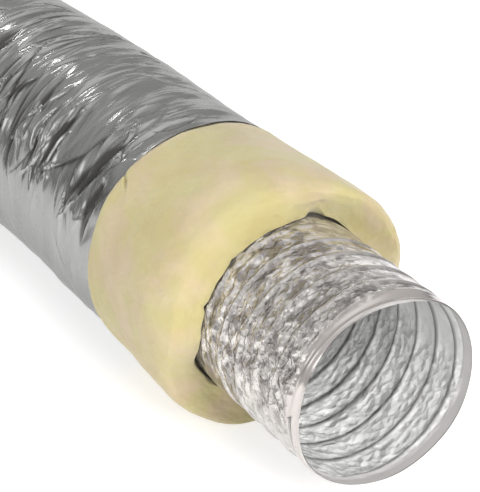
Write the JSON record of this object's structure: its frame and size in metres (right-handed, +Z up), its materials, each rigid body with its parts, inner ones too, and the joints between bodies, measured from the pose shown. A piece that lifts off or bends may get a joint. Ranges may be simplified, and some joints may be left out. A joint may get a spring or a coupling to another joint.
{
  "type": "insulated flexible air duct",
  "caption": "Round flexible air duct: a wire-and-film core in a glass wool blanket and a metallised film jacket, cut back in steps at the open end.",
  "frame": {"origin": "middle of the duct's outline, on the surface that the duct lies on", "axes": "+X along the straight front stretch towards the open core end, +Z up from the surface that the duct lies on"},
  "size_m": [0.9218, 0.2568, 0.2128],
  "materials": {
    "inner_ply": "crinkled clear and metallised polyester film, satin, pearly grey",
    "outer_ply": "crinkled metallised polyester film with fine facets, warm pinkish silver",
    "helix_wire": "drawn spring steel wire, dull grey",
    "wool": "matt pale yellow glass wool, fibrous and mottled",
    "jacket": "metallised film, silver grey, sharply wrinkled round the duct"
  },
  "bodies": {
    "core_end": {"core_end_inner_ply": "inner_ply", "core_end_wire": "helix_wire", "core_end_outer_ply": "outer_ply", "core_end_wool": "wool", "core_end_jacket": "jacket", "jacket_cuff_bay": "jacket", "jacket_bay_1": "jacket"},
    "insulation_cuff": {"insulation_cuff": "wool"},
    "jacket_cuff": {"jacket_cuff": "jacket"},
    "section_1": {"section_1_inner_ply": "inner_ply", "section_1_wire": "helix_wire", "section_1_outer_ply": "outer_ply", "section_1_wool": "wool", "section_1_jacket": "jacket", "jacket_bay_2": "jacket"},
    "section_2": {"section_2_inner_ply": "inner_ply", "section_2_wire": "helix_wire", "section_2_outer_ply": "outer_ply", "section_2_wool": "wool", "section_2_jacket": "jacket", "jacket_bay_3": "jacket"},
    "section_3": {"section_3_inner_ply": "inner_ply", "section_3_wire": "helix_wire", "section_3_outer_ply": "outer_ply", "section_3_wool": "wool", "section_3_jacket": "jacket", "jacket_bay_4": "jacket"},
    "section_4": {"section_4_inner_ply": "inner_ply", "section_4_wire": "helix_wire", "section_4_outer_ply": "outer_ply", "section_4_wool": "wool", "section_4_jacket": "jacket", "jacket_bay_5": "jacket"},
    "section_5": {"section_5_inner_ply": "inner_ply", "section_5_wire": "helix_wire", "section_5_outer_ply": "outer_ply", "section_5_wool": "wool", "section_5_jacket": "jacket", "jacket_bay_6": "jacket"},
    "section_6": {"section_6_inner_ply": "inner_ply", "section_6_wire": "helix_wire", "section_6_outer_ply": "outer_ply", "section_6_wool": "wool", "section_6_jacket": "jacket", "jacket_bay_7": "jacket"},
    "section_7": {"section_7_inner_ply": "inner_ply", "section_7_wire": "helix_wire", "section_7_outer_ply": "outer_ply", "section_7_wool": "wool", "section_7_jacket": "jacket", "jacket_bay_8": "jacket"},
    "section_8": {"section_8_inner_ply": "inner_ply", "section_8_wire": "helix_wire", "section_8_outer_ply": "outer_ply", "section_8_wool": "wool", "section_8_jacket": "jacket"}
  },
  "joints": [
    {"name": "sideways_bend_1", "type": "hinge", "parent": "core_end", "child": "section_1", "pos_m": [0.01094, 0.01909, 0.1035], "axis": [0, 0, 1], "range_deg": [-12, 10], "deforming": ["jacket_bay_1"]},
    {"name": "upright_bend_1", "type": "hinge", "parent": "section_1", "child": "section_2", "pos_m": [-0.04527, 0.01712, 0.1035], "axis": [-0.0523, 0.9986, 0], "range_deg": [-12, 12], "deforming": ["jacket_bay_2"]},
    {"name": "stretch_1", "type": "slide", "parent": "section_2", "child": "section_3", "axis": [-0.9966, -0.0828, 0], "range_m": [-0.02, 0.008], "deforming": ["jacket_bay_3"]},
    {"name": "sideways_bend_2", "type": "hinge", "parent": "section_3", "child": "section_4", "pos_m": [-0.15116, 0.00841, 0.1035], "axis": [0, 0, 1], "range_deg": [-12, 10], "deforming": ["jacket_bay_4"]},
    {"name": "upright_bend_2", "type": "hinge", "parent": "section_4", "child": "section_5", "pos_m": [-0.20704, 0.00204, 0.1035], "axis": [-0.1132, 0.9936, 0], "range_deg": [-12, 12], "deforming": ["jacket_bay_5"]},
    {"name": "stretch_2", "type": "slide", "parent": "section_5", "child": "section_6", "axis": [-0.9936, -0.1132, 0], "range_m": [-0.02, 0.008], "deforming": ["jacket_bay_6"]},
    {"name": "sideways_bend_3", "type": "hinge", "parent": "section_6", "child": "section_7", "pos_m": [-0.31261, -0.00999, 0.1035], "axis": [0, 0, 1], "range_deg": [-12, 10], "deforming": ["jacket_bay_7"]},
    {"name": "upright_bend_3", "type": "hinge", "parent": "section_7", "child": "section_8", "pos_m": [-0.3685, -0.01636, 0.1035], "axis": [-0.1132, 0.9936, 0], "range_deg": [-12, 12], "deforming": ["jacket_bay_8"]},
    {"name": "insulation_slide", "type": "slide", "parent": "core_end", "child": "insulation_cuff", "axis": [1, 0, 0], "range_m": [0, 0.1]},
    {"name": "jacket_slide", "type": "slide", "parent": "core_end", "child": "jacket_cuff", "axis": [1, 0, 0], "range_m": [-0.04, 0], "deforming": ["jacket_cuff_bay"]}
  ],
  "couplings": [
    {"joint": "sideways_bend_2", "follows": "sideways_bend_1", "ratio": 1},
    {"joint": "upright_bend_2", "follows": "upright_bend_1", "ratio": 1},
    {"joint": "stretch_2", "follows": "stretch_1", "ratio": 1},
    {"joint": "sideways_bend_3", "follows": "sideways_bend_1", "ratio": 1},
    {"joint": "upright_bend_3", "follows": "upright_bend_1", "ratio": 1}
  ]
}
